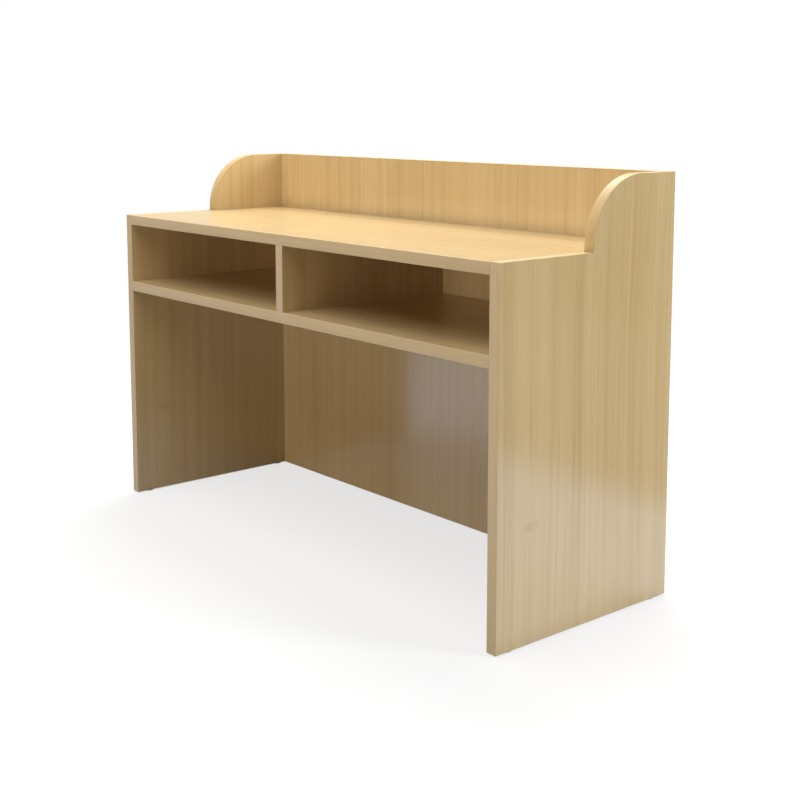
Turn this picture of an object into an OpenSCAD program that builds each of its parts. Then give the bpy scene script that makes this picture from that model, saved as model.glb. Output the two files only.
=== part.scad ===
// Training table with a raised back and two open compartments under the worktop.
// Melamine-faced boards with glued-on edge bands, held by cam fittings and dowels.
// Millimetres, +Z up. The origin is on the floor under the middle of the table,
// the sitter's side faces -Y and the raised back is towards +Y.

/* [Overall size] */
// Width over the two side panels
table_w = 1400; // [1000:10:1800]
// Depth from the front edges to the rear edges of the side panels
table_d = 500; // [420:5:700]
// Height of the worktop above the floor
worktop_h = 750; // [680:5:800]
// Height of the raised back above the worktop
raised_h = 150; // [100:5:300]

/* [Boards] */
// Thickness of the side panels
side_t = 25; // [22:1:36]
// Thickness of the desktop
desktop_t = 25; // [18:1:36]
// Thickness of the shelf
shelf_t = 25; // [18:1:36]
// Thickness of the centre divider
divider_t = 25; // [18:1:36]
// Thickness of the back panel
back_t = 18; // [16:1:25]
// How far the back panel stands in from the rear edges of the side panels
back_inset = 2; // [2:0.5:20]

/* [Compartments] */
// Clear height between the shelf and the desktop
compartment_h = 150; // [120:5:250]
// Sideways place of the divider, 0 in the middle of the table
divider_x = 0; // [-250:10:250]

/* [Wings] */
// Length of a side panel's raised wing, from the rear edge
wing_l = 245; // [180:5:320]
// Radius of the wing's front corner, limited by the height of the raised back
wing_r = 140; // [40:5:150]

/* [Edge bands] */
// Thickness of the bands on the edges that show
band_t = 2; // [1:0.5:3]
// Thickness of the bands on the rear edges and the lower edges
thin_band_t = 1; // [0.5:0.5:2]
// Rounding of the thick bands' outer corners, limited by their thickness
band_round = 1.2; // [0.4:0.2:3]

/* [Cam fittings] */
// Diameter of the cam housings
cam_d = 15; // [12:1:18]
// Distance from a joint to the middle of its cam housing
cam_reach = 34; // [26:1:40]
// How deep a cam housing goes past the axis of its bolt
cam_past = 4.5; // [4:0.5:6]
// Length of a slot of the housing's cross recess
cross_l = 6.5; // [5:0.5:8]
// Width of a slot of the cross recess
cross_w = 1.6; // [1.2:0.2:2.4]
// Depth of the cross recess
cross_h = 3; // [2:0.5:3.5]
// Diameter of a connecting bolt's shaft and head
bolt_d = 7; // [6.5:0.5:8]
// Diameter of the bolt's neck behind its head
neck_d = 4; // [3:0.5:5]
// Length of the bolt's neck
neck_l = 4; // [2:0.5:5]
// Length of the bolt's head
head_l = 3; // [2:0.5:4]
// Diameter of the bolt's thread
thread_d = 6; // [5:0.5:6]
// Length of the bolt's thread
thread_l = 10; // [7:0.5:10]
// Outer diameter of the insert sleeves
sleeve_d = 10; // [9:0.5:12]
// Length of the insert sleeves
sleeve_l = 11; // [10:0.5:13]
// Thickness of a cover cap
cap_t = 1; // [0.6:0.1:1.5]
// How far a cover cap reaches over the rim of its cam housing
cap_lip = 1; // [0.5:0.5:2]
// Radial gap between a fitting and its bore
fit_gap = 0.1; // [0.05:0.05:0.2]

/* [Dowels] */
// Diameter of the wooden dowels
dowel_d = 8; // [6:1:10]
// Length of the wooden dowels
dowel_l = 30; // [26:1:40]
// Depth of a dowel in the face of the board that its joint meets
dowel_in = 12; // [10:0.5:13]
// Chamfer at a dowel's ends
dowel_chamfer = 1; // [0.5:0.5:2]
// Free length of bore past each end of a dowel
dowel_spare = 1; // [0.5:0.5:2]

/* [Places of the fittings] */
// Distance from a board's edge to its first cam fitting
fitting_edge = 60; // [50:5:90]
// Distance from a cam fitting to the dowel beside it
dowel_step = 32; // [24:1:40]

/* [Floor glides] */
// Diameter of the floor glides
glide_d = 22; // [16:1:22]
// Height of the glides under the side panels
glide_h = 3; // [3:0.5:8]
// Chamfer of a glide's lower rim
glide_chamfer = 0.8; // [0.4:0.2:1.2]
// Distance from a side panel's edges to the middle of its glides
glide_edge = 40; // [25:5:100]
// Diameter of a glide's nail
nail_d = 2.4; // [2:0.2:3]
// Length of the nail in the board
nail_l = 18; // [12:1:25]
// Diameter of the nail's head
nail_head_d = 6; // [5:0.5:8]
// Thickness of the nail's head
nail_head_h = 0.8; // [0.6:0.1:1]
// How far the nail's head is sunk above the floor
nail_sunk = 0.6; // [0.4:0.1:1]

/* [Hidden] */
$fn = 48;

// Colours of the boards, the bands and the fittings
oak = [0.80, 0.68, 0.48];
band_oak = [0.78, 0.66, 0.50];
cap_beige = [0.76, 0.66, 0.50];
zinc = [0.70, 0.70, 0.72];
steel = [0.62, 0.63, 0.66];
sleeve_green = [0.30, 0.42, 0.36];
beech = [0.83, 0.68, 0.48];
glide_beige = [0.80, 0.77, 0.70];

// Main planes and heights
front_y = -table_d / 2;
rear_y = table_d / 2;
inner_x = table_w / 2 - side_t;
back_y = rear_y - back_inset - back_t;
back_mid_y = back_y + back_t / 2;
under_z = glide_h;
total_h = worktop_h + raised_h;
desktop_z = worktop_h - desktop_t;
shelf_z = desktop_z - compartment_h;
shelf_under_z = shelf_z - shelf_t;
wing_y = rear_y - wing_l;
corner_r = min(wing_r, raised_h, wing_l - band_t);
corner_z = total_h - corner_r;
// How far a cut runs past the face that it opens
cut_past = 1;
// Half of a piece's play, between a cap's plug and its cross recess
plug_gap = 0.2;

// Places along the depth: the first, the middle and the last fitting of a board
first_y = front_y + fitting_edge;
last_y = back_y - fitting_edge;
mid_y = (first_y + last_y) / 2;
dowel_ys = [first_y + dowel_step, last_y - dowel_step];

// Places along the width: at a quarter and at three quarters of each compartment
left_span = [-inner_x, divider_x - divider_t / 2];
right_span = [divider_x + divider_t / 2, inner_x];
rear_xs = [for (s = [left_span, right_span], k = [0.25, 0.75]) s[0] + k * (s[1] - s[0])];

// Places up the back panel's ends: three in the knee space, one in the compartments, one above
back_zs = [under_z + fitting_edge, (under_z + shelf_under_z) / 2, shelf_under_z - fitting_edge,
  (shelf_z + desktop_z) / 2, worktop_h + raised_h / 2];
back_dowel_zs = [back_zs[0] + 2 * dowel_step, back_zs[2] - 2 * dowel_step, back_zs[4] + dowel_step];

// A site is [place on the joint, turn, thickness of the board that holds the cam].
// In its own frame +X runs into that board, and -Z is the side that its cap closes.
function end_sites(ys, z, t) =
  [for (s = [-1, 1], y = ys) [[s * inner_x, y, z], [0, 0, s < 0 ? 0 : 180], t]];
function back_end_sites(zs) =
  [for (s = [-1, 1], z = zs) [[s * inner_x, back_mid_y, z], [90, s < 0 ? 0 : 180, 0], back_t]];
function rear_sites(z, t) = [for (x = rear_xs) [[x, back_y, z], [0, 0, -90], t]];
function divider_foot_sites(ys) = [for (y = ys) [[divider_x, y, shelf_z], [180, -90, 0], divider_t]];
function divider_head_sites(ys) = [for (y = ys) [[divider_x, y, desktop_z], [0, 90, 0], divider_t]];
function on_side(sites, side) = [for (s = sites) if (sign(s[0][0]) == side) s];

desktop_mid_z = worktop_h - desktop_t / 2;
shelf_mid_z = shelf_z - shelf_t / 2;
desktop_end_cams = end_sites([first_y, mid_y, last_y], desktop_mid_z, desktop_t);
desktop_rear_cams = rear_sites(desktop_mid_z, desktop_t);
shelf_end_cams = end_sites([first_y, last_y], shelf_mid_z, shelf_t);
shelf_rear_cams = rear_sites(shelf_mid_z, shelf_t);
back_end_cams = back_end_sites(back_zs);
divider_foot_cams = divider_foot_sites([first_y, last_y]);
divider_head_cams = divider_head_sites([first_y, last_y]);
end_cams = concat(desktop_end_cams, shelf_end_cams, back_end_cams);
rear_cams = concat(desktop_rear_cams, shelf_rear_cams);
all_cams = concat(end_cams, rear_cams, divider_foot_cams, divider_head_cams);

desktop_end_dowels = end_sites(dowel_ys, desktop_mid_z, desktop_t);
shelf_end_dowels = end_sites(dowel_ys, shelf_mid_z, shelf_t);
back_end_dowels = back_end_sites(back_dowel_zs);
divider_foot_dowels = divider_foot_sites(dowel_ys);
divider_head_dowels = divider_head_sites(dowel_ys);
end_dowels = concat(desktop_end_dowels, shelf_end_dowels, back_end_dowels);
all_dowels = concat(end_dowels, divider_foot_dowels, divider_head_dowels);

// Middles of the glides, two under each side panel
glide_x = table_w / 2 - side_t / 2;
glide_spots = [for (s = [-1, 1], y = [front_y + glide_edge, rear_y - glide_edge]) [s * glide_x, y, 0]];

// A box between two opposite corners
module block(low, high) {
  translate(low) cube(high - low);
}

// A round bar along X
module rod(x0, x1, d) {
  translate([x0, 0, 0]) rotate([0, 90, 0]) cylinder(h = x1 - x0, d = d);
}

module at_sites(sites) {
  for (s = sites) translate(s[0]) rotate(s[1]) let ($board_t = s[2]) children();
}

// Height of a cam housing, from the board's face to past its bolt
function cam_h(t) = t / 2 + cam_past;

// Bores in the board that holds the cam: the housing's bore, and the bolt's bore from the joint
module cam_bores() {
  translate([cam_reach, 0, -$board_t / 2 - cut_past])
    cylinder(h = cam_h($board_t) + cut_past + fit_gap, d = cam_d + 2 * fit_gap);
  rod(-cut_past, cam_reach, bolt_d + 2 * fit_gap);
}

// Bore for an insert sleeve, in the face that the joint meets
module sleeve_bore() {
  rod(-sleeve_l - fit_gap, cut_past, sleeve_d + 2 * fit_gap);
}

// Dowel bores on the two sides of a joint
module dowel_end_bore() {
  rod(-cut_past, dowel_l - dowel_in + dowel_spare, dowel_d + 2 * fit_gap);
}

module dowel_face_bore() {
  rod(-dowel_in - dowel_spare, cut_past, dowel_d + 2 * fit_gap);
}

// Two crossed slots, as the drive recess of a cam housing and the plug of its cap
module cross(l, w, h) {
  for (a = [0, 90]) rotate([0, 0, a]) translate([-l / 2, -w / 2, 0]) cube([l, w, h]);
}

// Cross section of a thick band: width along X, outer face towards +Y, outer corners rounded
module band_section(w) {
  r = min(band_round, band_t, w / 2);
  translate([r, 0]) square([w - 2 * r, band_t]);
  intersection() {
    square([w, band_t]);
    union() {
      square([w, band_t - r]);
      for (x = [r, w - r]) translate([x, band_t - r]) circle(r = r, $fn = 24);
    }
  }
}

// Thick band along X on a front edge, z0 to z0 + w high
module band_along_x(x0, x1, z0, w) {
  translate([x0, front_y + band_t, z0])
    rotate([90, 0, 90]) linear_extrude(x1 - x0) rotate(90) band_section(w);
}

// Thick upright band that faces the front, x0 to x0 + w wide, its outer face at y
module band_upright(x0, w, y, z0, z1) {
  translate([x0, y + band_t, z0]) linear_extrude(z1 - z0) mirror([0, 1]) band_section(w);
}

// Thick level band along Y that faces up, its outer face at z
module band_along_y(x0, w, y0, y1, z) {
  translate([x0, y1, z - band_t]) rotate([90, 0, 0]) linear_extrude(y1 - y0) band_section(w);
}

// Side panels

function panel_x(side) = side < 0 ? -table_w / 2 : inner_x;

// Outline of a side board inside its bands, with the depth along X and the height along Y
module side_outline() {
  low = under_z + thin_band_t;
  back = rear_y - thin_band_t;
  translate([front_y + band_t, low]) square([table_d - band_t - thin_band_t, worktop_h - band_t - low]);
  translate([wing_y + band_t, low]) square([back - wing_y - band_t, corner_z - low]);
  translate([wing_y + corner_r, low]) square([back - wing_y - corner_r, total_h - band_t - low]);
  translate([wing_y + corner_r, corner_z]) intersection() {
    circle(r = corner_r - band_t, $fn = 96);
    translate([-corner_r, 0]) square(corner_r);
  }
}

module side_panel(side) {
  color(oak) difference() {
    translate([panel_x(side), 0, 0]) rotate([90, 0, 90]) linear_extrude(side_t) side_outline();
    at_sites(on_side(end_cams, side)) sleeve_bore();
    at_sites(on_side(end_dowels, side)) dowel_face_bore();
    nail_bores();
  }
}

module nail_bores() {
  for (p = glide_spots) translate(p) cylinder(h = under_z + nail_l + fit_gap, d = nail_d + 2 * fit_gap);
}

module left_side_panel() { side_panel(-1); }

module right_side_panel() { side_panel(1); }

// Boards between the side panels

module desktop() {
  color(oak) difference() {
    block([-inner_x, front_y + band_t, desktop_z], [inner_x, back_y, worktop_h]);
    at_sites(concat(desktop_end_cams, desktop_rear_cams)) cam_bores();
    at_sites(desktop_end_dowels) dowel_end_bore();
    at_sites(divider_head_cams) sleeve_bore();
    at_sites(divider_head_dowels) dowel_face_bore();
  }
}

module shelf() {
  color(oak) difference() {
    block([-inner_x, front_y + band_t, shelf_under_z], [inner_x, back_y, shelf_z]);
    at_sites(concat(shelf_end_cams, shelf_rear_cams)) cam_bores();
    at_sites(shelf_end_dowels) dowel_end_bore();
    at_sites(divider_foot_cams) sleeve_bore();
    at_sites(divider_foot_dowels) dowel_face_bore();
  }
}

module centre_divider() {
  color(oak) difference() {
    block([left_span[1], front_y + band_t, shelf_z], [right_span[0], back_y, desktop_z]);
    at_sites(concat(divider_foot_cams, divider_head_cams)) cam_bores();
    at_sites(concat(divider_foot_dowels, divider_head_dowels)) dowel_end_bore();
  }
}

module back_panel() {
  color(oak) difference() {
    block([-inner_x, back_y, under_z + thin_band_t], [inner_x, back_y + back_t, total_h - band_t]);
    at_sites(back_end_cams) cam_bores();
    at_sites(back_end_dowels) dowel_end_bore();
    at_sites(rear_cams) sleeve_bore();
  }
}

// Edge bands

module desktop_front_band() {
  color(band_oak) band_along_x(-inner_x, inner_x, desktop_z, desktop_t);
}

module shelf_front_band() {
  color(band_oak) band_along_x(-inner_x, inner_x, shelf_under_z, shelf_t);
}

module divider_front_band() {
  color(band_oak) band_upright(left_span[1], divider_t, front_y, shelf_z, desktop_z);
}

module back_top_band() {
  color(band_oak) translate([-inner_x, back_y, total_h - band_t])
    rotate([90, 0, 90]) linear_extrude(2 * inner_x) band_section(back_t);
}

module back_bottom_band() {
  color(band_oak) block([-inner_x, back_y, under_z], [inner_x, back_y + back_t, under_z + thin_band_t]);
}

module side_front_band(side) {
  color(band_oak) band_upright(panel_x(side), side_t, front_y, under_z, worktop_h);
}

module side_ledge_band(side) {
  color(band_oak) band_along_y(panel_x(side), side_t, front_y + band_t, wing_y, worktop_h);
}

// One strip that climbs the wing's front, bends over its round corner and runs to the rear
module side_wing_band(side) {
  color(band_oak) {
    band_upright(panel_x(side), side_t, wing_y, worktop_h - band_t, corner_z);
    translate([panel_x(side), wing_y + corner_r, corner_z])
      rotate([90, 0, 90]) rotate([0, 0, 90]) rotate_extrude(angle = 90, $fn = 96)
        translate([corner_r - band_t, 0]) mirror([1, -1]) band_section(side_t);
    band_along_y(panel_x(side), side_t, wing_y + corner_r, rear_y, total_h);
  }
}

module side_rear_band(side) {
  x0 = panel_x(side);
  color(band_oak) block([x0, rear_y - thin_band_t, under_z], [x0 + side_t, rear_y, total_h - band_t]);
}

module side_bottom_band(side) {
  x0 = panel_x(side);
  color(band_oak) difference() {
    block([x0, front_y + band_t, under_z], [x0 + side_t, rear_y - thin_band_t, under_z + thin_band_t]);
    nail_bores();
  }
}

module left_front_band() { side_front_band(-1); }

module right_front_band() { side_front_band(1); }

module left_ledge_band() { side_ledge_band(-1); }

module right_ledge_band() { side_ledge_band(1); }

module left_wing_band() { side_wing_band(-1); }

module right_wing_band() { side_wing_band(1); }

module left_rear_band() { side_rear_band(-1); }

module right_rear_band() { side_rear_band(1); }

module left_bottom_band() { side_bottom_band(-1); }

module right_bottom_band() { side_bottom_band(1); }

// Cam fittings

// Zinc housing with a passage for the bolt's head and a cross recess under its cap
module cam_housing() {
  translate([cam_reach, 0, 0]) difference() {
    translate([0, 0, -$board_t / 2]) cylinder(h = cam_h($board_t), d = cam_d);
    rod(-cam_d, head_l / 2 + plug_gap, bolt_d + 2 * fit_gap);
    translate([0, 0, -$board_t / 2 - cut_past]) cross(cross_l, cross_w, cross_h + cut_past);
  }
}

// Steel bolt: thread in the sleeve, shaft in the board, neck and head in the cam housing
module connecting_bolt() {
  rod(-thread_l, 0, thread_d);
  rod(0, cam_reach - head_l / 2 - neck_l, bolt_d);
  rod(cam_reach - head_l / 2 - neck_l, cam_reach - head_l / 2, neck_d);
  rod(cam_reach - head_l / 2, cam_reach + head_l / 2, bolt_d);
}

module insert_sleeve() {
  difference() {
    rod(-sleeve_l, 0, sleeve_d);
    rod(-sleeve_l - cut_past, cut_past, thread_d + 2 * fit_gap);
  }
}

// Flat disc with a cross-shaped plug that snaps into the housing's recess
module cover_cap() {
  translate([cam_reach, 0, -$board_t / 2]) {
    translate([0, 0, -cap_t]) cylinder(h = cap_t / 2, d1 = cam_d + 2 * cap_lip - cap_t, d2 = cam_d + 2 * cap_lip);
    translate([0, 0, -cap_t / 2]) cylinder(h = cap_t / 2, d = cam_d + 2 * cap_lip);
    cross(cross_l - 2 * plug_gap, cross_w - 2 * plug_gap, cross_h - 2 * plug_gap);
  }
}

module cam_housings() {
  color(zinc) at_sites(all_cams) cam_housing();
}

module connecting_bolts() {
  color(steel) at_sites(all_cams) connecting_bolt();
}

module insert_sleeves() {
  color(sleeve_green) at_sites(all_cams) insert_sleeve();
}

module cover_caps() {
  color(cap_beige) at_sites(all_cams) cover_cap();
}

module wooden_dowel() {
  translate([-dowel_in, 0, 0]) rotate([0, 90, 0]) {
    cylinder(h = dowel_chamfer, d1 = dowel_d - 2 * dowel_chamfer, d2 = dowel_d);
    translate([0, 0, dowel_chamfer]) cylinder(h = dowel_l - 2 * dowel_chamfer, d = dowel_d);
    translate([0, 0, dowel_l - dowel_chamfer])
      cylinder(h = dowel_chamfer, d1 = dowel_d, d2 = dowel_d - 2 * dowel_chamfer);
  }
}

module wooden_dowels() {
  color(beech) at_sites(all_dowels) wooden_dowel();
}

// Floor glides

module floor_glide() {
  difference() {
    union() {
      cylinder(h = glide_chamfer, d1 = glide_d - 2 * glide_chamfer, d2 = glide_d);
      translate([0, 0, glide_chamfer]) cylinder(h = glide_h - glide_chamfer, d = glide_d);
    }
    translate([0, 0, -cut_past]) cylinder(h = glide_h + 2 * cut_past, d = nail_d + 2 * fit_gap);
    translate([0, 0, -cut_past])
      cylinder(h = nail_sunk + nail_head_h + cut_past, d = nail_head_d + 2 * fit_gap);
  }
}

module glide_nail() {
  tip_l = nail_d;
  translate([0, 0, nail_sunk]) cylinder(h = nail_head_h, d = nail_head_d);
  translate([0, 0, nail_sunk]) cylinder(h = glide_h + nail_l - nail_sunk - tip_l, d = nail_d);
  translate([0, 0, glide_h + nail_l - tip_l]) cylinder(h = tip_l, d1 = nail_d, d2 = nail_d / 4);
}

module floor_glides() {
  color(glide_beige) for (p = glide_spots) translate(p) floor_glide();
}

module glide_nails() {
  color(steel) for (p = glide_spots) translate(p) glide_nail();
}

left_side_panel();
right_side_panel();
desktop();
shelf();
centre_divider();
back_panel();
desktop_front_band();
shelf_front_band();
divider_front_band();
back_top_band();
back_bottom_band();
left_front_band();
right_front_band();
left_ledge_band();
right_ledge_band();
left_wing_band();
right_wing_band();
left_rear_band();
right_rear_band();
left_bottom_band();
right_bottom_band();
cam_housings();
connecting_bolts();
insert_sleeves();
cover_caps();
wooden_dowels();
floor_glides();
glide_nails();
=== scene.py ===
# %% [markdown]
# A training table built from melamine-faced boards: two full-height side panels with a
# rounded wing, a desktop, a shelf, a divider and a back panel that rises above the desktop.
# The boards' solids are right as they are, so they stay and get a finish. What is rounded
# or turned on the real table is made again here as smooth surfaces.

# %% Load the frame
import math

import bpy
import numpy as np
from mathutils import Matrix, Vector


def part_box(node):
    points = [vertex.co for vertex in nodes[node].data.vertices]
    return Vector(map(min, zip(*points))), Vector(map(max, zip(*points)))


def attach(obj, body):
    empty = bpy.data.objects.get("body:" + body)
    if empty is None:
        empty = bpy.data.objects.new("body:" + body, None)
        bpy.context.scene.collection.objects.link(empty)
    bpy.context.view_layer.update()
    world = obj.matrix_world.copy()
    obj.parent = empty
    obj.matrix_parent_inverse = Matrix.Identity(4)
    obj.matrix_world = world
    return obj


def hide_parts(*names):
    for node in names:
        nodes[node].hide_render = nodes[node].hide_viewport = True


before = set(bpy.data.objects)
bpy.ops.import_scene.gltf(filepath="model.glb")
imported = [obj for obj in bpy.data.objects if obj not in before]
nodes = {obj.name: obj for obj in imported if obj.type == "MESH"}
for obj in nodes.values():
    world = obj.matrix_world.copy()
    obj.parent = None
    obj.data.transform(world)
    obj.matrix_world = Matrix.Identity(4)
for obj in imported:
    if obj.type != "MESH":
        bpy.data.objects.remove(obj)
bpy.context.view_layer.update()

# %% [markdown]
# The photograph was taken from the right, a little above the desktop. A camera is fixed by
# where it stands, which way it looks and its lens. Turning it to the left and down from the
# +Y direction is written here in degrees, and a small downward shift of the lens keeps the
# upright edges nearly parallel, as they are in the photograph.

# %% Camera
camera_place = (2.369, -1.885, 1.028)
camera_turn_deg = 50.0
camera_pitch_deg = -7.21
lens_px = 1295.4
lens_shift = -0.16
picture_px = 800
sensor_mm = 36.0

camera_data = bpy.data.cameras.new("camera")
camera_data.sensor_width = sensor_mm
camera_data.lens = lens_px / picture_px * sensor_mm
camera_data.shift_y = lens_shift
camera = bpy.data.objects.new("camera", camera_data)
camera.location = camera_place
camera.rotation_euler = (math.radians(90 + camera_pitch_deg), 0, math.radians(camera_turn_deg))
bpy.context.scene.collection.objects.link(camera)
bpy.context.scene.camera = camera
print("lens in mm:", round(camera_data.lens, 2))

# %% [markdown]
# Every material below is a small network of nodes. It could be drawn by hand in the shader
# editor, but a script can be read through and changed in one place. Two helpers keep the
# cells short: one makes a material, and one adds a node and sets its sockets.

# %% Helpers for nodes


def new_material(name):
    """An empty material with a Principled shader, as (material, tree, shader)."""
    material = bpy.data.materials.new(name)
    material.use_nodes = True
    tree = material.node_tree
    return material, tree, tree.nodes["Principled BSDF"]


def add_node(tree, kind, settings=None, **sockets):
    """Adds a node. A socket's value is a number, a colour or another node's output."""
    node = tree.nodes.new("ShaderNode" + kind)
    for key, value in (settings or {}).items():
        setattr(node, key, value)
    for key, value in sockets.items():
        socket = node.inputs[key.replace("_", " ")]
        if isinstance(value, bpy.types.NodeSocket):
            tree.links.new(value, socket)
        else:
            socket.default_value = value
    return node


print("helpers: new_material, add_node")

# %% [markdown]
# A pattern is a number at each point, mostly between 0 and 1. Patterns are put together in
# two ways: they are added up with a weight for each, or one of them decides at each point
# how much of two colours is seen.

# %% Helpers for patterns


def weighted_sum(tree, patterns, start=0.0):
    """Adds up (output, weight) pairs with multiply-add nodes, from a starting number."""
    total = start
    for output, weight in patterns:
        node = add_node(tree, "Math", {"operation": "MULTIPLY_ADD"})
        tree.links.new(output, node.inputs[0])
        node.inputs[1].default_value = weight
        if isinstance(total, float):
            node.inputs[2].default_value = total
        else:
            tree.links.new(total, node.inputs[2])
        total = node.outputs[0]
    return total


def colour_mix(tree, share, first, second):
    """Mixes two colours: share 0 gives the first, and 1 the second."""
    mix = add_node(tree, "Mix", {"data_type": "RGBA"})
    for number, value in ((0, share), (6, first), (7, second)):
        if isinstance(value, bpy.types.NodeSocket):
            tree.links.new(value, mix.inputs[number])
        else:
            mix.inputs[number].default_value = value
    return mix.outputs[2]


print("helpers: weighted_sum, colour_mix")

# %% [markdown]
# The boards are faced with melamine paper that is printed with straight-grained light oak.
# The print has broad bands, narrower streaks, fine fibres and short dark pores, all drawn
# out along the grain. A picture of wood would repeat and blur, so each layer is a noise that
# is stretched along the grain. The layers make a tone, and a ramp turns it into a colour.

# %% Printed oak
oak_dark = (0.500, 0.345, 0.156, 1.0)
oak_middle = (0.620, 0.450, 0.222, 1.0)
oak_light = (0.700, 0.533, 0.286, 1.0)
pore_brown = (0.330, 0.200, 0.085, 1.0)
dark_at, light_at = 0.34, 0.66
no_pore, full_pore = 0.60, 0.72
pore_share = 0.22

# each layer's grains to the metre across the fibres and along them, and its detail
print_layers = {
    "bands": (6.0, 0.30, 1.0),
    "columns": (34.0, 0.45, 2.0),
    "streaks": (150.0, 1.3, 3.0),
    "fibres": (620.0, 7.0, 2.0),
    "pores": (1300.0, 42.0, 2.0),
}
toned_layers = ("bands", "columns", "streaks", "fibres")
noise_roughness = 0.55
sway_per_metre = 1.4
sway_reach = 0.03


def stretched_noise(tree, place, across, along, detail):
    """Noise with so many grains to the metre across the fibres and along them."""
    scale = (across, across, along)
    mapping = add_node(tree, "Mapping", {"vector_type": "POINT"}, Vector=place, Scale=scale)
    noise = add_node(tree, "TexNoise", None, Vector=mapping.outputs[0], Scale=1.0,
                     Detail=detail, Roughness=noise_roughness)
    return noise.outputs[0]


def oak_print(tree, place, weights):
    """Colour and pore pattern of the printed oak. place runs across the grain in X and Y
    and along it in Z, in metres. weights are those of bands, columns, streaks and fibres,
    and the tone is one half plus each pattern's distance from one half times its weight."""
    drift = add_node(tree, "TexNoise", None, Vector=place, Scale=sway_per_metre, Detail=1.0)
    sway = add_node(tree, "VectorMath", {"operation": "MULTIPLY_ADD"})
    tree.links.new(drift.outputs[1], sway.inputs[0])
    sway.inputs[1].default_value = (sway_reach, sway_reach, 0.0)
    tree.links.new(place, sway.inputs[2])
    layers = {layer: stretched_noise(tree, sway.outputs[0], *facts)
              for layer, facts in print_layers.items()}
    patterns = [(layers[layer], weight) for layer, weight in zip(toned_layers, weights)]
    tone = weighted_sum(tree, patterns, 0.5 - 0.5 * sum(weights))
    ramp = add_node(tree, "ValToRGB", None, Fac=tone)
    ramp.color_ramp.elements[0].position = dark_at
    ramp.color_ramp.elements[0].color = oak_dark
    ramp.color_ramp.elements[1].position = light_at
    ramp.color_ramp.elements[1].color = oak_light
    ramp.color_ramp.elements.new(0.5).color = oak_middle
    dashes = add_node(tree, "MapRange", None, Value=layers["pores"], From_Min=no_pore,
                      From_Max=full_pore).outputs[0]
    dash_share = weighted_sum(tree, [(dashes, pore_share)])
    return colour_mix(tree, dash_share, ramp.outputs[0], pore_brown), dashes, layers["fibres"]


print("layers of the print:", ", ".join(print_layers))

# %% [markdown]
# Each side panel shows one faint knot, the mark of a branch. It could be painted, but an
# oval mask about a point stays sharp at any distance. The same mask bends the grain aside.

# %% Knots
knot_brown = (0.380, 0.235, 0.100, 1.0)
knot_reach = 0.040
knot_slant_deg = -20
knot_flatness = 2.2
knot_share = 0.22
knot_pull = -0.75
left_knot = (-0.675, -0.157, 0.226)
right_knot = (0.700, -0.158, 0.237)


def knot_mask(tree, place, centre):
    """How near a point is to a knot, from 1 at its centre to 0 at its rim. The knot is a
    slanting oval, so the point's offset is turned and stretched before it is measured."""
    offset = add_node(tree, "VectorMath", {"operation": "SUBTRACT"})
    tree.links.new(place, offset.inputs[0])
    offset.inputs[1].default_value = centre
    oval = add_node(tree, "Mapping", {"vector_type": "POINT"}, Vector=offset.outputs[0],
                    Rotation=(math.radians(knot_slant_deg), 0, 0),
                    Scale=(0.0, 1.0, knot_flatness))
    reach = add_node(tree, "VectorMath", {"operation": "LENGTH"}, Vector=oval.outputs[0])
    near = add_node(tree, "MapRange", {"interpolation_type": "SMOOTHERSTEP"},
                    Value=reach.outputs["Value"], From_Min=0.0, From_Max=knot_reach,
                    To_Min=1.0, To_Max=0.0)
    return near.outputs[0], offset.outputs[0]


print("knots at:", left_knot, right_knot)

# %% [markdown]
# The printed paper lies under clear resin, which is pressed flat. So the sheen is smooth,
# with a little more blur on some fibres than on others. The pores are embossed, as on real
# laminate, and the fibres stand up very faintly.

# %% Oak laminate
resin_ior = 1.6
emboss_depth = 0.00008
emboss_strength = 0.15
pore_relief, fibre_relief = -1.0, 0.25


def oak_laminate(name, turn_deg, start, weights, roughness, knot=None):
    """Printed oak whose grain runs along Z once the place is turned by turn_deg, and whose
    pattern starts at another place on each board. Round a knot the grain bends aside.
    roughness is that of the smoothest and of the roughest fibre."""
    material, tree, shader = new_material(name)
    place = add_node(tree, "TexCoord").outputs["Object"]
    if knot:
        near, offset = knot_mask(tree, place, knot)
        pull = weighted_sum(tree, [(near, knot_pull)])
        shift = add_node(tree, "VectorMath", {"operation": "SCALE"}, Scale=pull)
        tree.links.new(offset, shift.inputs[0])
        bent = add_node(tree, "VectorMath", {"operation": "ADD"})
        tree.links.new(place, bent.inputs[0])
        tree.links.new(shift.outputs[0], bent.inputs[1])
        place = bent.outputs[0]
    turn = tuple(math.radians(a) for a in turn_deg)
    mapping = add_node(tree, "Mapping", {"vector_type": "POINT"}, Vector=place, Rotation=turn,
                       Location=start)
    colour, pores, fibres = oak_print(tree, mapping.outputs[0], weights)
    if knot:
        colour = colour_mix(tree, weighted_sum(tree, [(near, knot_share)]), colour, knot_brown)
    sheen = add_node(tree, "MapRange", None, Value=fibres, To_Min=roughness[0],
                     To_Max=roughness[1])
    relief = weighted_sum(tree, [(pores, pore_relief), (fibres, fibre_relief)])
    bump = add_node(tree, "Bump", None, Height=relief, Strength=emboss_strength,
                    Distance=emboss_depth)
    shader.inputs["IOR"].default_value = resin_ior
    tree.links.new(colour, shader.inputs["Base Color"])
    tree.links.new(sheen.outputs[0], shader.inputs["Roughness"])
    tree.links.new(bump.outputs[0], shader.inputs["Normal"])
    return material


print("helper: oak_laminate")

# %% [markdown]
# The grain stands upright on the panels and lies lengthwise on desktop and shelf, as boards
# are cut from the sheet. Each board starts at another place in the pattern, so no two look
# alike. Desktop and shelf have a calmer figure and a slightly duller resin.

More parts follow.
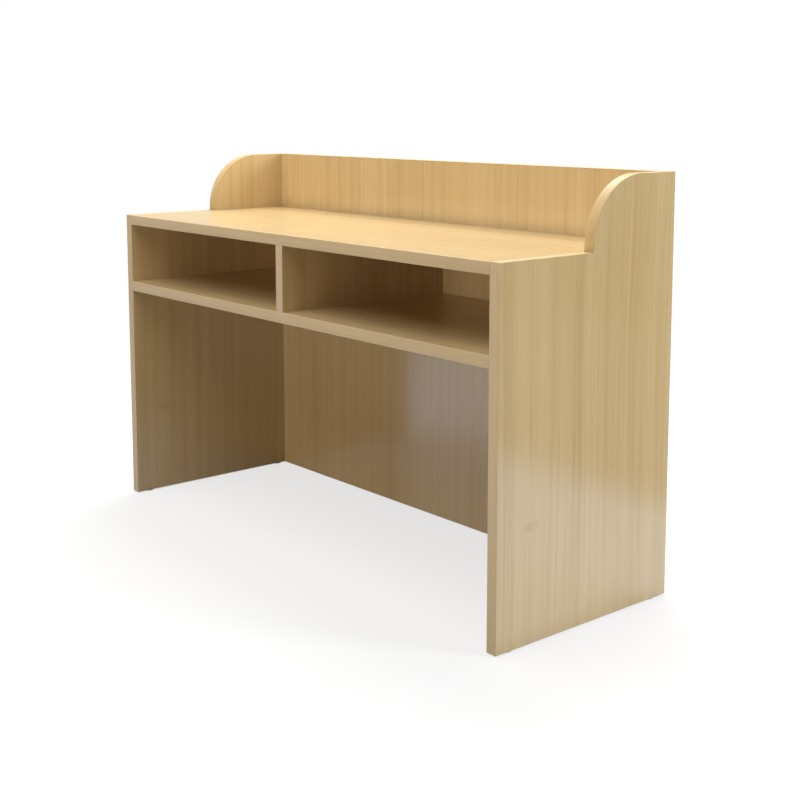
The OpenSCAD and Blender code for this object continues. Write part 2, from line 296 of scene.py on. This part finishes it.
# %% Finish of the boards
upright = (0, 0, 0)
lengthwise = (0, 90, 0)
full_figure = (0.20, 0.30, 0.22, 0.14)
calm_figure = (0.14, 0.16, 0.10, 0.10)
smooth_resin = (0.12, 0.19)
worktop_resin = (0.19, 0.27)
board_finishes = {
    "left_side_panel": (upright, (3.1, 0.2, 0.4), full_figure, smooth_resin, left_knot),
    "right_side_panel": (upright, (7.3, 1.1, 2.2), full_figure, smooth_resin, right_knot),
    "back_panel": (upright, (0.6, 4.7, 1.3), full_figure, smooth_resin),
    "centre_divider": (upright, (5.9, 2.6, 3.8), full_figure, smooth_resin),
    "desktop": (lengthwise, (2.4, 6.1, 0.7), calm_figure, worktop_resin),
    "shelf": (lengthwise, (8.2, 3.3, 5.1), calm_figure, worktop_resin),
}
for node_name, facts in board_finishes.items():
    material = oak_laminate("oak_" + node_name, *facts)
    nodes[node_name].data.materials.clear()
    nodes[node_name].data.materials.append(material)
print("boards finished:", len(board_finishes))

# %% [markdown]
# The bands, caps and glides are made from arrays of points, each given by a formula.
# Modifiers could make them too, but a formula says exactly where each point lies. One helper
# turns an array into a mesh, and one joins the points of a grid into faces.

# %% Meshes from arrays


def mesh_piece(name, points, faces, uv=None):
    """A smooth mesh object from an array of points and a list of face index lists."""
    mesh = bpy.data.meshes.new(name)
    mesh.from_pydata(points.tolist(), [], faces)
    mesh.update()
    if uv is not None:
        corners = np.zeros(len(mesh.loops), np.int32)
        mesh.loops.foreach_get("vertex_index", corners)
        layer = mesh.uv_layers.new(name="strip")
        layer.data.foreach_set("uv", uv[corners].astype(np.float32).ravel())
    mesh.polygons.foreach_set("use_smooth", np.ones(len(mesh.polygons), bool))
    piece = bpy.data.objects.new(name, mesh)
    bpy.context.scene.collection.objects.link(piece)
    return piece


def grid_faces(rows, columns):
    """Quads of a grid whose columns close on themselves, as an array of indices."""
    r, c = np.meshgrid(np.arange(rows - 1), np.arange(columns), indexing="ij")
    after = (c + 1) % columns
    quads = np.stack([r * columns + c, r * columns + after,
                      (r + 1) * columns + after, (r + 1) * columns + c], axis=-1)
    return quads.reshape(-1, 4)


print("helpers: mesh_piece, grid_faces")

# %% [markdown]
# The edge bands are strips of plastic, printed with the same oak, glued on and trimmed to a
# small radius along both outer corners. A strip is a cross section carried along a path:
# straight for most, and up, round and back for the wing's strip. It could be extruded and
# bevelled, but a computed section also gives the arc length, which the print follows.

# %% Strips
glue_line = 0.00015
end_ease = 0.0004
corner_steps = 7
end_steps = 5


def strip_section(width, thickness, radius):
    """Closed outline of a strip as (across, outward) points: flat underneath with a fine
    bevel at the glue line, and two outer corners that are quarter circles."""
    angles = np.linspace(0, math.pi / 2, corner_steps)
    right_x = width - radius + radius * np.cos(angles)
    right_y = thickness - radius + radius * np.sin(angles)
    left_x = radius - radius * np.sin(angles)
    left_y = thickness - radius + radius * np.cos(angles)
    base_x = [0.0, glue_line, width - glue_line, width]
    base_y = [glue_line, 0.0, 0.0, glue_line]
    return np.stack([np.concatenate([base_x, right_x, left_x]),
                     np.concatenate([base_y, right_y, left_y])], axis=-1)


def carried_strip(name, section, stations, across, outward, length):
    """The section carried along stations: each point is a station, plus the section's first
    coordinate along across, plus its second along that station's outward direction. In the
    last fraction of a millimetre at each end the outward height falls in a quarter circle."""
    thickness = section[:, 1].max()
    from_end = np.minimum(length, length[-1] - length)
    reach = np.clip(1 - from_end / end_ease, 0, 1)
    height = thickness - end_ease * (1 - np.sqrt(1 - reach ** 2))
    outward_part = np.minimum(section[None, :, 1], height[:, None])
    points = (stations[:, None, :] + section[None, :, 0, None] * across
              + outward_part[:, :, None] * outward[:, None, :])
    rows, columns = points.shape[:2]
    faces = grid_faces(rows, columns).tolist()
    faces.append(list(range(columns))[::-1])
    faces.append(list(range((rows - 1) * columns, rows * columns)))
    uv = np.stack([np.broadcast_to(section[None, :, 0], (rows, columns)),
                   np.broadcast_to(length[:, None], (rows, columns))], axis=-1)
    return mesh_piece(name, points.reshape(-1, 3), faces, uv.reshape(-1, 2))


def eased_lengths(total, inner):
    """Lengths along a strip: close together in the eased ends, with inner points between."""
    end = end_ease * (1 - np.cos(np.linspace(0, math.pi / 2, end_steps)))
    middle = np.linspace(end[-1], total - end[-1], inner + 2)[1:-1]
    return np.concatenate([end, middle, (total - end)[::-1]])


print("helpers: strip_section, carried_strip, eased_lengths")

# %% [markdown]
# A straight strip takes its place and its sizes from its node's box, so nothing has to be
# measured twice. What is left to say is the axis along it, the way it faces and how far its
# corners are rounded.

# %% Straight strips
axis_numbers = {"x": 0, "y": 1, "z": 2}
axis_vectors = {axis: np.eye(3)[number] for axis, number in axis_numbers.items()}


def straight_band(node, along, out, sign, radius):
    """The strip that stands for a straight band node. along and out are axes, and sign is
    the way that its outer face looks. Its sizes are those of the node's box."""
    low, high = (np.array(corner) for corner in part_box(node))
    side = (set(axis_numbers) - {along, out}).pop()
    size = dict(zip(axis_numbers, high - low))
    section = strip_section(size[side], size[out], radius)
    outward = sign * axis_vectors[out]
    across = np.cross(outward, axis_vectors[along])
    start = np.where(across + outward < -0.5, high, low)
    start = np.where(np.abs(axis_vectors[along]) > 0.5, low, start)
    length = eased_lengths(size[along], 1)
    stations = start + length[:, None] * axis_vectors[along]
    outwards = np.broadcast_to(outward, stations.shape)
    return carried_strip(node + "_strip", section, stations, across, outwards, length)


print("helper: straight_band")

# %% [markdown]
# The print of the strips is plainer than the boards' and plastic is duller than resin, so
# the print is weaker here and the surface rougher. The pattern reads the strip's own map, so
# the grain runs up the wing's front and round its corner, as it does on a strip that was
# bent round a board. Each strip has a tone, a saturation and brightness laid over its print,
# which paints the light that falls on it by the way that it faces.

# %% Edge band finish
band_weights = (0.10, 0.12, 0.14, 0.20)
band_roughness = (0.38, 0.50)
band_specular = 0.35
band_relief = 0.00004
band_relief_strength = 0.3


def edge_band(name, start, saturation, value):
    """Printed plastic whose grain runs along the strip's own length."""
    material, tree, shader = new_material(name)
    place = add_node(tree, "UVMap", {"uv_map": "strip"}).outputs[0]
    mapping = add_node(tree, "Mapping", {"vector_type": "POINT"}, Vector=place,
                       Rotation=(math.radians(90), 0, 0), Location=(start, 0, 0))
    colour, _, fibres = oak_print(tree, mapping.outputs[0], band_weights)
    # saturation and value paint light and sheen by the strip's facing, not its own colour
    plain = add_node(tree, "HueSaturation", None, Saturation=saturation, Value=value,
                     Color=colour)
    sheen = add_node(tree, "MapRange", None, Value=fibres, To_Min=band_roughness[0],
                     To_Max=band_roughness[1])
    bump = add_node(tree, "Bump", None, Height=fibres, Strength=band_relief_strength,
                    Distance=band_relief)
    shader.inputs["Specular IOR Level"].default_value = band_specular
    tree.links.new(plain.outputs[0], shader.inputs["Base Color"])
    tree.links.new(sheen.outputs[0], shader.inputs["Roughness"])
    tree.links.new(bump.outputs[0], shader.inputs["Normal"])
    return material


print("helper: edge_band")

# %% [markdown]
# Thick strips, 2 mm with a rounded corner, cover the edges that hands and knees meet. Thin
# ones, 1 mm, cover the rear and bottom edges. The strips' tone is painted light: those that
# face forward or back are painted greyer, as under a cool sheen, and those that face up or
# down are painted warmer, as under warm light from above, and match the boards. Each strip
# starts at another place in the print.

# %% Straight edge bands
thick_round = 0.0012
thin_round = 0.0003
# painted light: greyer for strips facing forward or back, warmer for those facing up or down
painted_cool_sheen_tone = (0.88, 0.96)
painted_warm_light_tone = (1.06, 0.92)
start_step = 1.7
straight_bands = {
    "desktop_front_band": ("x", "y", -1, thick_round),
    "shelf_front_band": ("x", "y", -1, thick_round),
    "divider_front_band": ("z", "y", -1, thick_round),
    "back_top_band": ("x", "z", 1, thick_round),
    "back_bottom_band": ("x", "z", -1, thin_round),
}
for side in ("left", "right"):
    straight_bands[side + "_front_band"] = ("z", "y", -1, thick_round)
    straight_bands[side + "_ledge_band"] = ("y", "z", 1, thick_round)
    straight_bands[side + "_rear_band"] = ("z", "y", 1, thin_round)
    straight_bands[side + "_bottom_band"] = ("y", "z", -1, thin_round)


def finish_band(piece, node, number, tone):
    """Gives a strip its finish and puts it in the place of its node."""
    piece.data.materials.append(edge_band("band_" + node, start_step * number, *tone))
    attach(piece, "root")
    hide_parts(node)


for number, (node, facts) in enumerate(sorted(straight_bands.items())):
    # the tone by the way a strip faces is painted light
    tone = painted_warm_light_tone if facts[1] == "z" else painted_cool_sheen_tone
    finish_band(straight_band(node, *facts), node, number, tone)
print("straight strips:", len(straight_bands))

# %% [markdown]
# One strip runs up each wing's front edge, round its corner and back along its top. It is
# the same section carried along a path whose outward direction turns with the corner, so the
# strip stays equally thick all the way and the print follows it without a joint.

# %% Wing bands
wing_radius = 0.140
arc_steps = 49
wing_numbers = {"left_wing_band": 20, "right_wing_band": 21}


def wing_band(node):
    """The strip up a wing's front, round its corner and back along its top. Its length s
    runs up a straight, then an arc whose angle is s divided by the radius, then a level."""
    low, high = (np.array(corner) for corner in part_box(node))
    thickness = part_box("left_ledge_band")[1].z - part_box("left_ledge_band")[0].z
    rise = high[2] - low[2] - wing_radius
    level = high[1] - low[1] - wing_radius
    bend = wing_radius * math.pi / 2
    total = rise + bend + level
    arc = rise + np.linspace(0, bend, arc_steps)
    length = np.unique(np.concatenate([eased_lengths(total, 1), arc]))
    angle = np.clip((length - rise) / wing_radius, 0, math.pi / 2)
    outward = np.stack([0 * angle, -np.cos(angle), np.sin(angle)], axis=-1)
    centre = np.array([low[0], low[1] + wing_radius, high[2] - wing_radius])
    stations = centre + (wing_radius - thickness) * outward
    stations[:, 2] += np.minimum(length - rise, 0)
    stations[:, 1] += np.maximum(length - rise - bend, 0)
    section = strip_section(high[0] - low[0], thickness, thick_round)
    return carried_strip(node + "_strip", section, stations, axis_vectors["x"], outward, length)


# the wing strips take the painted warm light tone
for node, number in wing_numbers.items():
    finish_band(wing_band(node), node, number, painted_warm_light_tone)
print("wing strips:", len(wing_numbers))

# %% [markdown]
# The fittings inside hold the table together: cast zinc cam housings, plated bolts in nylon
# sleeves, and beech dowels. Nails hold the glides. Their solids stay, and each gets the
# finish of its making: a fine noise stands for the skin of a casting, the blur of a plating
# or the grain of a turned stick.

# %% Fittings' finishes
speckle_blur = 0.06
speckle_relief = 0.00005
speckle_relief_strength = 0.2


def speckled(name, colour, variation, roughness, metallic, grain):
    """A moulded or cast finish: a fine noise lightens, darkens and roughens the colour."""
    material, tree, shader = new_material(name)
    place = add_node(tree, "TexCoord").outputs["Object"]
    noise = add_node(tree, "TexNoise", None, Vector=place, Scale=grain, Detail=4.0)
    ramp = add_node(tree, "ValToRGB", None, Fac=noise.outputs[0])
    ramp.color_ramp.elements[0].position = 0.3
    ramp.color_ramp.elements[1].position = 0.7
    ramp.color_ramp.elements[0].color = (*[c * (1 - variation) for c in colour], 1)
    ramp.color_ramp.elements[1].color = (*[c * (1 + variation) for c in colour], 1)
    sheen = add_node(tree, "MapRange", None, Value=noise.outputs[0],
                     To_Min=roughness - speckle_blur, To_Max=roughness + speckle_blur)
    bump = add_node(tree, "Bump", None, Height=noise.outputs[0],
                    Strength=speckle_relief_strength, Distance=speckle_relief)
    tree.links.new(ramp.outputs[0], shader.inputs["Base Color"])
    tree.links.new(sheen.outputs[0], shader.inputs["Roughness"])
    tree.links.new(bump.outputs[0], shader.inputs["Normal"])
    shader.inputs["Metallic"].default_value = metallic
    return material


fitting_finishes = {
    "cam_housings": speckled("cast_zinc", (0.42, 0.42, 0.44), 0.12, 0.42, 1.0, 900.0),
    "connecting_bolts": speckled("bolt_steel", (0.46, 0.46, 0.48), 0.06, 0.30, 1.0, 700.0),
    "glide_nails": speckled("nail_steel", (0.46, 0.46, 0.48), 0.06, 0.34, 1.0, 700.0),
    "insert_sleeves": speckled("sleeve_nylon", (0.07, 0.15, 0.11), 0.08, 0.50, 0.0, 600.0),
    "wooden_dowels": speckled("beech", (0.62, 0.40, 0.22), 0.10, 0.62, 0.0, 500.0),
}
for node, material in fitting_finishes.items():
    nodes[node].data.materials.clear()
    nodes[node].data.materials.append(material)
print("fittings finished:", len(fitting_finishes))

# %% [markdown]
# The cover caps and the floor glides sit in many places, and all pieces of a kind are one
# node. Their places aren't typed in again: the mesh of the CAD node is split into its
# separate solids, and each solid's box says where a piece is and how large it is.

# %% Places of the round pieces


def solids_of(node, reach):
    """Boxes of a node's separate solids, as (low corners, high corners). Each solid is all
    the points within reach of the first point that is left."""
    mesh = nodes[node].data
    points = np.zeros(len(mesh.vertices) * 3)
    mesh.vertices.foreach_get("co", points)
    points = points.reshape(-1, 3)
    lows, highs = [], []
    while len(points):
        near = np.linalg.norm(points - points[0], axis=1) < reach
        lows.append(points[near].min(axis=0))
        highs.append(points[near].max(axis=0))
        points = points[~near]
    return np.array(lows), np.array(highs)


cap_spacing = 0.020
glide_spacing = 0.030
cap_lows, cap_highs = solids_of("cover_caps", cap_spacing)
glide_lows, glide_highs = solids_of("floor_glides", glide_spacing)
print("solids of caps and glides:", len(cap_lows), len(glide_lows))

# %% [markdown]
# A round piece is a profile that is turned about its own axis, as on a lathe. Blender's
# Screw modifier does that for one piece at the origin. Here one formula turns all pieces of
# a kind at once, each at its own seat and facing its own way.

# %% Turned pieces


def turned(name, profile, seats, outward, sides=40):
    """One mesh of equal turned pieces. A point of a piece is its seat, plus the profile's
    radius times (cosine, sine) of the turning angle in the plane across the axis, plus the
    profile's height along the outward axis. A profile that starts and ends at radius zero
    closes in two poles, and any other closes on itself as a ring."""
    radius, height = np.array(profile).T
    solid = radius[0] == 0
    if solid:
        poles = height[[0, -1]]
        radius, height = radius[1:-1], height[1:-1]
    first = np.roll(outward, 1, axis=1)
    second = np.cross(outward, first)
    angle = np.arange(sides) * 2 * math.pi / sides
    round_part = (np.cos(angle)[None, :, None] * first[:, None, :]
                  + np.sin(angle)[None, :, None] * second[:, None, :])
    points = (seats[:, None, None, :] + radius[None, :, None, None] * round_part[:, None, :, :]
              + height[None, :, None, None] * outward[:, None, None, :])
    rows = len(radius)
    points = points.reshape(len(seats), rows * sides, 3)
    faces = grid_faces(rows, sides).tolist()
    here = np.arange(sides)
    after = (here + 1) % sides
    last = (rows - 1) * sides
    if solid:
        tips = seats[:, None, :] + poles[None, :, None] * outward[:, None, :]
        points = np.concatenate([points, tips], axis=1)
        start = np.full(sides, rows * sides)
        faces += np.stack([start, after, here], axis=-1).tolist()
        faces += np.stack([last + here, last + after, start + 1], axis=-1).tolist()
    else:
        faces += np.stack([last + here, last + after, after, here], axis=-1).tolist()
    step = points.shape[1]
    all_faces = [[corner + number * step for corner in face]
                 for number in range(len(seats)) for face in faces]
    return mesh_piece(name, points.reshape(-1, 3), all_faces)


def quarter_round(radius_at, height_at, size, start_deg, steps=6):
    """Points of a quarter circle about (radius_at, height_at), from start_deg onwards."""
    angle = np.radians(np.linspace(start_deg, start_deg + 90, steps))
    return [(radius_at + size * c, height_at + size * s)
            for c, s in zip(np.cos(angle), np.sin(angle))]


print("helpers: turned, quarter_round")

# %% [markdown]
# A cover cap closes each cam housing: a moulded disc with a low crown, a rounded rim and a
# stem that snaps into the housing's cross. The crown is a shallow parabola and the rim a
# quarter circle, which catch a line of light as a moulded edge does. The disc's thin
# direction is the way that it faces: left on the divider, rearward on the back panel, and
# down under the desktop and the shelf.

# %% Cover caps
cap_radius = 0.0085
cap_height = 0.001
cap_rim = 0.0005
cap_edge = 0.0001
cap_crown = 0.0003
stem_radius = 0.0009
stem_depth = 0.0025
stem_taper = 0.8
stem_straight = 0.9
cap_side = {0: -1.0, 1: 1.0, 2: -1.0}

thin_axis = np.argmin(cap_highs - cap_lows, axis=1)
cap_outward = np.eye(3)[thin_axis] * np.array([cap_side[a] for a in thin_axis])[:, None]
cap_middles = (cap_lows + cap_highs) / 2
outer_end = np.where(cap_outward > 0, cap_highs, cap_lows)
cap_tops = np.where(cap_outward != 0, outer_end, cap_middles)
cap_seats = cap_tops - cap_height * cap_outward

crown_reach = np.linspace(cap_radius - cap_rim, 0, 8)
crown = [(r, cap_height - cap_crown * (r / cap_radius) ** 2) for r in crown_reach]
rim_height = crown[0][1] - cap_rim
cap_profile = ([(0, -stem_depth), (stem_radius * stem_taper, -stem_depth),
                (stem_radius, -stem_depth * stem_straight), (stem_radius, 0),
                (cap_radius - cap_edge, 0), (cap_radius, cap_edge)]
               + quarter_round(cap_radius - cap_rim, rim_height, cap_rim, 0)[:-1] + crown)
caps = turned("cap_discs", cap_profile, cap_seats, cap_outward)
caps.data.materials.append(speckled("cap_plastic", (0.56, 0.41, 0.22), 0.05, 0.40, 0.0,
                                    900.0))
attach(caps, "root")
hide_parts("cover_caps")
print("caps:", len(cap_seats))

# %% [markdown]
# Two glides under each side panel keep its edge off the floor. Each is a nylon disc with a
# rounded rim and a stepped hole, in which the nail's head lies below the face that slides.
# The profile doesn't reach the axis, so it closes on itself and leaves the hole open.

# %% Floor glides
glide_radius = 0.011
glide_height = 0.003
glide_rim = 0.0008
nail_hole = 0.0013
head_hole = 0.0031
head_depth = 0.0014
glide_edge = 0.0002

glide_seats = (glide_lows + glide_highs) / 2
glide_seats[:, 2] = glide_highs[:, 2]
glide_outward = np.tile([0.0, 0.0, -1.0], (len(glide_seats), 1))
glide_profile = ([(nail_hole, 0), (glide_radius - glide_edge, 0), (glide_radius, glide_edge)]
                 + quarter_round(glide_radius - glide_rim, glide_height - glide_rim,
                                 glide_rim, 0)
                 + [(head_hole + glide_edge, glide_height),
                    (head_hole, glide_height - glide_edge),
                    (head_hole, glide_height - head_depth),
                    (nail_hole, glide_height - head_depth)])
glides = turned("glide_discs", glide_profile, glide_seats, glide_outward)
glides.data.materials.append(speckled("glide_nylon", (0.60, 0.56, 0.46), 0.06, 0.45, 0.0,
                                      700.0))
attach(glides, "root")
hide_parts("floor_glides")
print("glides:", len(glide_seats))

# %% [markdown]
# The floor has to look different in different places and to different rays. Masks say where:
# a mask goes from 0 to 1 in a smooth step, so its edge isn't seen, and masks that are
# multiplied count only where all of them do.

# %% Masks


def smooth_mask(tree, value, zero_at, one_at, **limits):
    """A mask that goes from 0 to 1 in a smooth step while value goes from zero_at to
    one_at. To_Min and To_Max set other limits than 0 and 1."""
    return add_node(tree, "MapRange", {"interpolation_type": "SMOOTHSTEP"}, Value=value,
                    From_Min=zero_at, From_Max=one_at, **limits).outputs[0]


def product(tree, outputs):
    """Multiplies several outputs."""
    total = outputs[0]
    for output in outputs[1:]:
        node = add_node(tree, "Math", {"operation": "MULTIPLY"})
        tree.links.new(total, node.inputs[0])
        tree.links.new(output, node.inputs[1])
        total = node.outputs[0]
    return total


print("helpers: smooth_mask, product")

# %% [markdown]
# The stage is a pale floor, on which the camera sees the table's shadow. For glossy rays
# alone the floor is painted as the bluish, window-lit floor of the photograph, and grey
# behind the table as a dim room, so the boards' smooth faces show a painted reflection.
# Diffuse rays meet a dark warm grey, so the knee space isn't lit up from below. Light Path
# tells the kinds of ray apart.

# %% Floor
floor_half = 20.0
# painted reflection colours, which only glossy rays see on the floor
painted_window_blue = (0.60, 0.75, 1.0, 1)
painted_room_grey = (0.16, 0.16, 0.16, 1)
floor_pale = (0.85, 0.85, 0.85, 1)
floor_bounce = (0.14, 0.13, 0.12, 1)
white = (1, 1, 1, 1)
floor_roughness = 0.9

floor_points = np.array([[-floor_half, -floor_half, 0], [floor_half, -floor_half, 0],
                         [floor_half, floor_half, 0], [-floor_half, floor_half, 0]])
floor = mesh_piece("floor", floor_points, [[0, 1, 2, 3]])
floor_material, floor_tree, floor_shader = new_material("floor_white")
floor_shader.inputs["Roughness"].default_value = floor_roughness
floor_shader.inputs["Specular IOR Level"].default_value = 0.0
rays = add_node(floor_tree, "LightPath").outputs
floor_place = add_node(floor_tree, "TexCoord").outputs["Object"]
floor_axes = add_node(floor_tree, "SeparateXYZ", None, Vector=floor_place)
floor_x, floor_y = floor_axes.outputs["X"], floor_axes.outputs["Y"]
distance = add_node(floor_tree, "VectorMath", {"operation": "LENGTH"},
                    Vector=floor_place).outputs["Value"]

# painted reflection: glossy rays see the floor bluish near the table, grey behind it
behind = smooth_mask(floor_tree, floor_y, 0.60, 0.90)
mirrored = colour_mix(floor_tree, behind, painted_window_blue, painted_room_grey)
lit = colour_mix(floor_tree, rays["Is Diffuse Ray"], floor_pale, floor_bounce)
shown = colour_mix(floor_tree, rays["Is Glossy Ray"], lit, mirrored)
floor_tree.links.new(shown, floor_shader.inputs["Base Color"])
print("floor colours:", painted_window_blue[:3], painted_room_grey[:3], floor_pale[:3], floor_bounce[:3])

# %% [markdown]
# The window light is painted on the floor as a glow, and no lamp gives it. It lies in front,
# as far as a painted shadow of the left panel, which is a slanting line, and on the right of
# the table. A sheen shows it as a painted reflection: on the outside of the right panel up to
# about half its height, and on the back panel in the knee space. Close to the right panel,
# diffuse rays meet it too, a painted pool of light which keeps the panel's foot as bright as
# the rest. Each mask has two places in metres: where it is 0 and where it has reached 1.

# %% Painted window light on the floor
daylight_strength = 0.52
shade_slant = 1.18
front_share = 0.55

# painted shadow: the glow stops at the slanting line of the left panel's shadow
panel_shade = weighted_sum(floor_tree, [(floor_x, 1.0), (floor_y, -shade_slant)])
in_front = smooth_mask(floor_tree, panel_shade, -0.45, -0.33, To_Max=front_share)
on_right = smooth_mask(floor_tree, floor_x, 0.70, 0.76)
outside = add_node(floor_tree, "Math", {"operation": "MAXIMUM"})
floor_tree.links.new(in_front, outside.inputs[0])
floor_tree.links.new(on_right, outside.inputs[1])
nearby = smooth_mask(floor_tree, distance, 3.6, 2.2)

# painted pool of light beside the right panel, which diffuse rays meet
beside = smooth_mask(floor_tree, floor_x, 1.15, 0.95)
past_front = smooth_mask(floor_tree, floor_y, -0.75, -0.40)
before_rear = smooth_mask(floor_tree, floor_y, 0.32, -0.05)
painted_foot_light = product(floor_tree, [rays["Is Diffuse Ray"], on_right, beside, past_front,
                                  before_rear])
seen_glow = add_node(floor_tree, "Math", {"operation": "MAXIMUM"})
floor_tree.links.new(rays["Is Glossy Ray"], seen_glow.inputs[0])
floor_tree.links.new(painted_foot_light, seen_glow.inputs[1])
# the floor's painted window light: an emission glow where no lamp stands
daylight = weighted_sum(floor_tree, [(behind, -daylight_strength)], daylight_strength)
painted_window_glow = product(floor_tree, [daylight, outside.outputs[0], nearby,
                                   seen_glow.outputs[0]])
floor_shader.inputs["Emission Color"].default_value = painted_window_blue
floor_tree.links.new(painted_window_glow, floor_shader.inputs["Emission Strength"])
print("window light:", daylight_strength)

# %% [markdown]
# The camera alone meets a white glow on the floor, so the background is white. It is weaker
# around the table, where it leaves the shadow to be seen.

# %% White glow for the camera
glow_share = smooth_mask(floor_tree, distance, 1.0, 3.0, To_Min=0.70, To_Max=1.0)
camera_share = product(floor_tree, [glow_share, rays["Is Camera Ray"]])
glow = add_node(floor_tree, "Emission", None, Color=white, Strength=1.0)
floor_mix = add_node(floor_tree, "MixShader")
floor_tree.links.new(camera_share, floor_mix.inputs[0])
floor_tree.links.new(floor_shader.outputs[0], floor_mix.inputs[1])
floor_tree.links.new(glow.outputs[0], floor_mix.inputs[2])
floor_tree.links.new(floor_mix.outputs[0],
                     floor_tree.nodes["Material Output"].inputs["Surface"])
floor.data.materials.append(floor_material)
print("floor nodes:", len(floor_tree.nodes))

# %% [markdown]
# The world gives a little even light from all sides. The camera and glass see it as white,
# and a sheen sees it as light grey, as the walls of a room would be.

# %% World
ambient_strength = 0.06
wall_strength = 0.45
backdrop_strength = 1.0

scene = bpy.context.scene
scene.view_settings.view_transform = "Standard"
world = bpy.data.worlds.new("studio")
scene.world = world
world.use_nodes = True
world_tree = world.node_tree
world_path = add_node(world_tree, "LightPath")
seen = world_tree.nodes["Background"]
seen.inputs["Color"].default_value = white
seen.inputs["Strength"].default_value = ambient_strength
for kinds, strength in ((("Is Glossy Ray",), wall_strength),
                        (("Is Camera Ray", "Is Transmission Ray"), backdrop_strength)):
    background = add_node(world_tree, "Background", None, Color=white, Strength=strength)
    for ray in kinds:
        mix = add_node(world_tree, "MixShader")
        world_tree.links.new(world_path.outputs[ray], mix.inputs[0])
        world_tree.links.new(seen.outputs[0], mix.inputs[1])
        world_tree.links.new(background.outputs[0], mix.inputs[2])
        seen = mix
world_tree.links.new(seen.outputs[0], world_tree.nodes["World Output"].inputs["Surface"])
print("ambient light:", ambient_strength)

# %% [markdown]
# Soft lamps stand where a studio would hang them: two under the ceiling, and one for each
# side and the rear. Two more fill the hollows and leave the desktop alone: a warmer strip in
# front, as high as the compartments, and a faint low one on the right, for the knee space's
# left wall. These two are hidden from glossy rays, because a board would mirror them as
# bars. The desktop comes out almost white, and its grain still shows.

# %% Lamps


def soft_box(name, place, aim, size, watts, colour, mirrored):
    """A rectangular lamp at place that looks at aim, and that a sheen shows if mirrored."""
    data = bpy.data.lights.new(name, "AREA")
    data.shape = "RECTANGLE"
    data.size, data.size_y = size
    data.energy = watts
    data.color = colour
    lamp = bpy.data.objects.new(name, data)
    direction = np.array(aim, float) - np.array(place, float)
    flat = math.hypot(direction[0], direction[1])
    lamp.location = place
    lamp.rotation_euler = (math.atan2(flat, -direction[2]), 0,
                           -math.atan2(direction[0], direction[1]))
    lamp.visible_glossy = mirrored
    scene.collection.objects.link(lamp)


# each lamp's place, aim, size, watts and colour, and whether a sheen shows it
lamps = {
    "ceiling_front": ((0, -2.0, 3.2), (0, -2.0, 0), (4.0, 3.0), 107.0, (1, 1, 1), True),
    "ceiling_rear": ((-1.2, 1.3, 3.3), (-1.2, 1.3, 0), (3.0, 2.2), 163.0, (1, 1, 0.97), True),
    "right_lamp": ((3.95, 2.0, 1.5), (0.7, 0, 0.5), (1.0, 1.8), 125.0, (0.97, 1, 1.03), True),
    "left_lamp": ((-4.5, -0.1, 1.4), (-0.7, 0, 0.5), (2.0, 1.6), 50.0, (1, 1, 1), True),
    "rear_lamp": ((0.3, 3.6, 2.6), (0, 0, 0.6), (3.0, 2.0), 56.0, (1, 1, 1), True),
    "front_strip": ((0.3, -4.0, 0.66), (0, 0, 0.66), (1.6, 0.3), 45.0, (1, 0.89, 0.78),
                    False),
    "low_strip": ((4.5, -0.9, 0.30), (0, -0.1, 0.35), (1.2, 0.4), 15.0, (1, 0.94, 0.86),
                  False),
}
for lamp_name, facts in lamps.items():
    soft_box(lamp_name, *facts)
print("lamps:", len(lamps))
